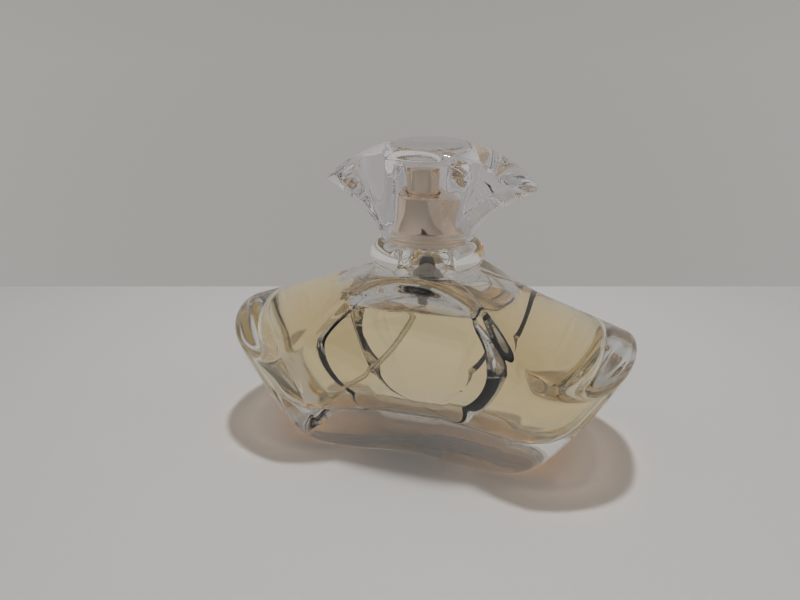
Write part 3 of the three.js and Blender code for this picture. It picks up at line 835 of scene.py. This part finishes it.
DIP_ROUTE = smooth_path([
    (0, 0, 40.4), (0, 0, 38.6), (0, 0, 36.4), (-1.5, 0, 32.8),
    (-4, 0, 28), (-8.4, 0, 21.2), (-14.4, 0, 15), (-22, 0, 9.8),
], 120)
dip_tube = swept("dip_tube_hose", DIP_ROUTE, 0.7, 20, 0.4)
finish_piece(dip_tube, TUBE, "natural_plastic", "bottle", "dip_tube")

# The spring, with its end turns closed up.
SPRING_R = 2.15
SPRING_WIRE_R = 0.21
SPRING_TURNS = 4.5
spring_foot = node_foot("return_spring") + SPRING_WIRE_R
spring_top = node_top("return_spring") - SPRING_WIRE_R
t = np.linspace(0, 1, 260)
turn = t * SPRING_TURNS * TAU
rise = ramp(t, -0.1, 1.1)
rise = (rise - rise[0]) / (rise[-1] - rise[0])
spring_path = np.stack([
    SPRING_R * np.cos(turn), SPRING_R * np.sin(turn), lerp(spring_foot, spring_top, rise),
], 1)
spring = swept("coil_spring", spring_path, SPRING_WIRE_R, 12)
finish_piece(spring, STEEL, "steel", "bottle", "return_spring")
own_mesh(spring)

# The inlet ball, turned from pole to pole.
ball_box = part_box("inlet_ball")
ball_middle = (ball_box[0].z + ball_box[1].z) / 2 / MM
ball_bends = np.radians(np.linspace(-90, 90, 33))
ball_profile = [[0.9 * np.cos(b), ball_middle + 0.9 * np.sin(b), 0] for b in ball_bends]
ball = lathe("inlet_ball_bead", ball_profile, 0, 48, poles=True)
finish_piece(ball, STEEL, "steel", "ball", "inlet_ball")

STEM_FOOT_Z = node_foot("stem")
STEM_TOP_Z = node_top("stem")
stem = lathe("stem_tube", [
    [0.6, STEM_FOOT_Z],
    [2.35, STEM_FOOT_Z],
    [2.35, STEM_FOOT_Z + 0.7],
    [STEM_R, STEM_FOOT_Z + 0.7],
    [STEM_R, STEM_TOP_Z],
    [0.6, STEM_TOP_Z],
], 0.12, 64)
finish_piece(stem, WHITE, "natural_plastic", "plunger", "stem")

ACTUATOR_FOOT_Z = node_foot("actuator_shell")
ACTUATOR_TOP_Z = node_top("actuator_shell")
SHELL_AROUND = 160


def actuator_shell():
    """The shell's wall is a lathe with extra rows up its side, and the nozzle's hole is cut
    through it with a boolean.
    """
    inner_r = ACTUATOR_R - 0.4
    hole_r = 1.5
    top = ACTUATOR_TOP_Z
    profile = filleted([
        [inner_r, ACTUATOR_FOOT_Z, 0.08],
        [ACTUATOR_R, ACTUATOR_FOOT_Z, 0.12],
        [ACTUATOR_R, top, 0.6],
        [3.6, top - 0.15, 0.8],
        [0, top - 0.45],
    ], 0.1, 6, closed=False)
    under = filleted([
        [0, top - 0.9],
        [inner_r, top - 0.9, 0.3],
        [inner_r, ACTUATOR_FOOT_Z + 0.2, 0],
    ], 0.1, 5, closed=False)
    angles = np.arange(SHELL_AROUND) / SHELL_AROUND * TAU
    wall_foot = [p for p in profile if p[1] < ACTUATOR_FOOT_Z + 1][-1][1]
    wall_top = [p for p in profile if p[0] > ACTUATOR_R - 1e-6][-1][1]
    out = []
    for i, p in enumerate(profile[:-1]):
        out.append(p)
        if p[0] > ACTUATOR_R - 1e-6 and profile[i + 1][1] - p[1] > 1:
            out += [(ACTUATOR_R, z) for z in np.linspace(wall_foot, wall_top, 40)[1:-1]]
    rows = circles(out, angles)
    shell_top = skin("gold_actuator", np.concatenate([circles(under[1:], angles), rows]),
                     (0, 0, top - 0.9), (0, 0, top - 0.45))
    cutter_profile = [(0, -1.5), (hole_r, -1.5), (hole_r, 1.5), (0, 1.5)]
    cutter_rows = circles(cutter_profile[1:-1], np.arange(64) / 64 * TAU)
    swapped = cutter_rows[..., [0, 2, 1]] * [1, 1, -1] + [0, ACTUATOR_R, NOZZLE_Z]
    near, far = (0, ACTUATOR_R - 1.5, NOZZLE_Z), (0, ACTUATOR_R + 1.5, NOZZLE_Z)
    cutter = skin("nozzle_cutter", swapped, near, far)
    cut = shell_top.modifiers.new("hole", "BOOLEAN")
    cut.object = cutter
    cut.operation = "DIFFERENCE"
    cut.solver = "EXACT"
    bpy.context.view_layer.update()
    evaluated = shell_top.evaluated_get(bpy.context.evaluated_depsgraph_get())
    holed = bpy.data.meshes.new_from_object(evaluated)
    shell_top.modifiers.clear()
    shell_top.data = holed
    bpy.data.objects.remove(cutter)
    return shell_top


shell = actuator_shell()
finish_piece(shell, GOLD, "gold_metal", "actuator", "actuator_shell")

CORE_R = ACTUATOR_R - 0.55
core_foot, core_top = node_foot("actuator_core"), node_top("actuator_core")
core = lathe("actuator_core_block", [
    [STEM_R + 0.15, core_foot],
    [CORE_R, core_foot],
    [CORE_R, core_top],
    [0.5, core_top],
    [0.5, core_foot + 2.2],
    [STEM_R + 0.15, core_foot + 2.2],
], 0.1)
finish_piece(core, NATURAL, "natural_plastic", "actuator", "actuator_core")

# The spray insert: a dished disc with a fine orifice, in the hole at the back.
nozzle_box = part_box("nozzle_insert")
nozzle_face = nozzle_box[1].y / MM
nozzle = lathe("spray_insert", [
    [0.35, nozzle_box[0].y / MM],
    [1.2, nozzle_box[0].y / MM],
    [1.2, nozzle_face, 0.25],
    [0.7, nozzle_face, 0.1],
    [0.35, nozzle_face - 0.35, 0.1],
], 0.08, 48, 5)
for vertex in nozzle.data.vertices:
    x, y, z = vertex.co
    vertex.co = (x, z, NOZZLE_Z * MM - y)
finish_piece(nozzle, NATURAL, "natural_plastic", "actuator", "nozzle_insert")


# ---- Stage, light and camera --------------------------------------------------------------

CAMERA = Vector((0.03106, -0.1315, 0.089))
LOOK = Vector((-0.2556, 0.8913, -0.3746))
HEADING = Vector((LOOK.x, LOOK.y, 0)).normalized()
SIDEWAYS = Vector((HEADING.y, -HEADING.x, 0))


def floor_material():
    n = Nodes("pale_floor")
    shader = n.principled(Roughness=0.6)
    tone = n.colours(n.noise(3, 3), (0.3, (0.595, 0.597, 0.6)), (0.7, (0.625, 0.627, 0.632)))
    n.link(tone, shader.inputs["Base Color"])
    n.link(n.bump(n.noise(900, 5, 0.6), 0.04, 0.0001), shader.inputs["Normal"])
    return n.done(shader.outputs["BSDF"])


def make_floor():
    """A flat pale floor whose far edge turns down behind the bottle."""
    edge, bend_r, half_width, rows = 0.1, 0.004, 1.2, 40
    bends = np.linspace(0.2, np.pi / 2, 6)
    along = list(np.linspace(-half_width, edge, rows)) + [edge + bend_r * np.sin(a) for a in bends]
    drop = [0.0] * rows + [-bend_r * (1 - np.cos(a)) for a in bends]
    along.append(edge + bend_r)
    drop.append(-0.3)
    across = np.linspace(-half_width, half_width, 41)
    points = []
    for a, d in zip(along, drop):
        for c in across:
            p = HEADING * float(a) + SIDEWAYS * float(c)
            points.append((p.x / MM, p.y / MM, d / MM))
    count = len(across)
    faces = []
    for i in range(len(along) - 1):
        for j in range(count - 1):
            a = i * count + j
            faces.append([a, a + 1, a + count + 1, a + count])
    floor = mesh_object("floor", points, faces)
    floor.data.materials.append(floor_material())


def make_world():
    """A soft studio: grey all round, a little darker on the camera's side and overhead."""
    world = bpy.data.worlds.new("studio")
    bpy.context.scene.world = world
    world.use_nodes = True
    tree = world.node_tree
    background = tree.nodes["Background"]
    place = tree.nodes.new("ShaderNodeTexCoord")

    def along(direction):
        dot = tree.nodes.new("ShaderNodeVectorMath")
        dot.operation = "DOT_PRODUCT"
        dot.inputs[1].default_value = direction
        tree.links.new(place.outputs["Generated"], dot.inputs[0])
        to_unit = tree.nodes.new("ShaderNodeMapRange")
        to_unit.inputs["From Min"].default_value = -1
        tree.links.new(dot.outputs["Value"], to_unit.inputs["Value"])
        return to_unit.outputs["Result"]

    def grey_ramp(value, stops):
        node = tree.nodes.new("ShaderNodeValToRGB")
        node.color_ramp.elements.remove(node.color_ramp.elements[1])
        for i, (at, colour) in enumerate(stops):
            stop = node.color_ramp.elements[0] if i == 0 else node.color_ramp.elements.new(at)
            stop.position = at
            stop.color = (*colour, 1)
        tree.links.new(value, node.inputs["Fac"])
        return node.outputs["Color"]

    depth = grey_ramp(along(HEADING), [
        (0.0, (0.3, 0.295, 0.29)),
        (0.2, (0.34, 0.335, 0.33)),
        (0.45, (0.44, 0.435, 0.43)),
        (0.75, (0.41, 0.4, 0.39)),
        (1.0, (0.36, 0.35, 0.335)),
    ])
    height = grey_ramp(along(Vector((0, 0, 1))), [
        (0.0, (0.9, 0.9, 0.9)),
        (0.5, (1, 1, 1)),
        (0.75, (0.85, 0.85, 0.85)),
        (1.0, (0.75, 0.75, 0.75)),
    ])
    product = tree.nodes.new("ShaderNodeMix")
    product.data_type = "RGBA"
    product.blend_type = "MULTIPLY"
    product.inputs[0].default_value = 1
    tree.links.new(depth, product.inputs[6])
    tree.links.new(height, product.inputs[7])
    tree.links.new(product.outputs[2], background.inputs["Color"])
    background.inputs["Strength"].default_value = 1.0


def make_lamp(name, place, target, size, watts, colour=(1, 1, 1)):
    lamp = bpy.data.lights.new(name, "AREA")
    lamp.shape = "DISK"
    lamp.size = size
    lamp.energy = watts
    lamp.color = colour
    obj = bpy.data.objects.new(name, lamp)
    obj.location = place
    obj.rotation_mode = "QUATERNION"
    obj.rotation_quaternion = (Vector(target) - Vector(place)).to_track_quat("-Z", "Y")
    bpy.context.scene.collection.objects.link(obj)
    return obj


CARD_DISTANCE = 0.16
CARD_HALF_LENGTH = 0.09
CARD_HALF_WIDTH = 0.055
CARD_Z = 1.0


def make_shade_card():
    """Painted shade: a dark sheet on the floor in front of the bottle, standing in for the shade
    cast there by whoever holds the camera. It is seen only in reflections and through glass, where
    it paints a dark reflected stripe on the gold.
    """
    middle = HEADING * -CARD_DISTANCE
    points = []
    for a in (-CARD_HALF_LENGTH, CARD_HALF_LENGTH):
        for c in (-CARD_HALF_WIDTH, CARD_HALF_WIDTH):
            p = middle + HEADING * a + SIDEWAYS * c
            points.append((p.x / MM, p.y / MM, CARD_Z))
    card = mesh_object("painted_shade_card", points, [[0, 1, 3, 2]])
    # The sheet's colour is painted shade: near-black, with a little random tone.
    n = Nodes("painted_shade_sheet")
    shader = n.principled(Roughness=0.9)
    shade_grain = n.noise(700, 4, 0.6)
    tone = n.colours(shade_grain, (0.3, (0.015, 0.014, 0.013)), (0.7, (0.03, 0.028, 0.026)))
    n.link(tone, shader.inputs["Base Color"])
    card.data.materials.append(n.done(shader.outputs["BSDF"]))
    card.visible_camera = False
    card.visible_diffuse = False
    card.visible_shadow = False


make_floor()
make_world()
# Painted shade: a dark sheet whose only job is to darken the reflections on the gold.
make_shade_card()
key = make_lamp("key", (0.0, 0.06, 0.46), (0, 0, 0.02), 0.032, 0.95, (1.0, 0.985, 0.96))
# Rays bent by glass don't meet the lamp, so no noisy pools of light form round the bottle.
key.visible_transmission = False

lens = bpy.data.cameras.new("camera")
lens.lens = 27.0
lens.sensor_width = 36.0
lens.clip_start = 0.005
lens.clip_end = 20
camera = bpy.data.objects.new("camera", lens)
camera.location = CAMERA
camera.rotation_mode = "QUATERNION"
camera.rotation_quaternion = LOOK.to_track_quat("-Z", "Y")
bpy.context.scene.collection.objects.link(camera)
bpy.context.scene.camera = camera

scene = bpy.context.scene
scene.view_settings.view_transform = "Standard"
scene.cycles.max_bounces = 24
scene.cycles.transmission_bounces = 24
scene.cycles.glossy_bounces = 12
scene.cycles.transparent_max_bounces = 32
scene.cycles.use_denoising = True
scene.cycles.sample_clamp_indirect = 4
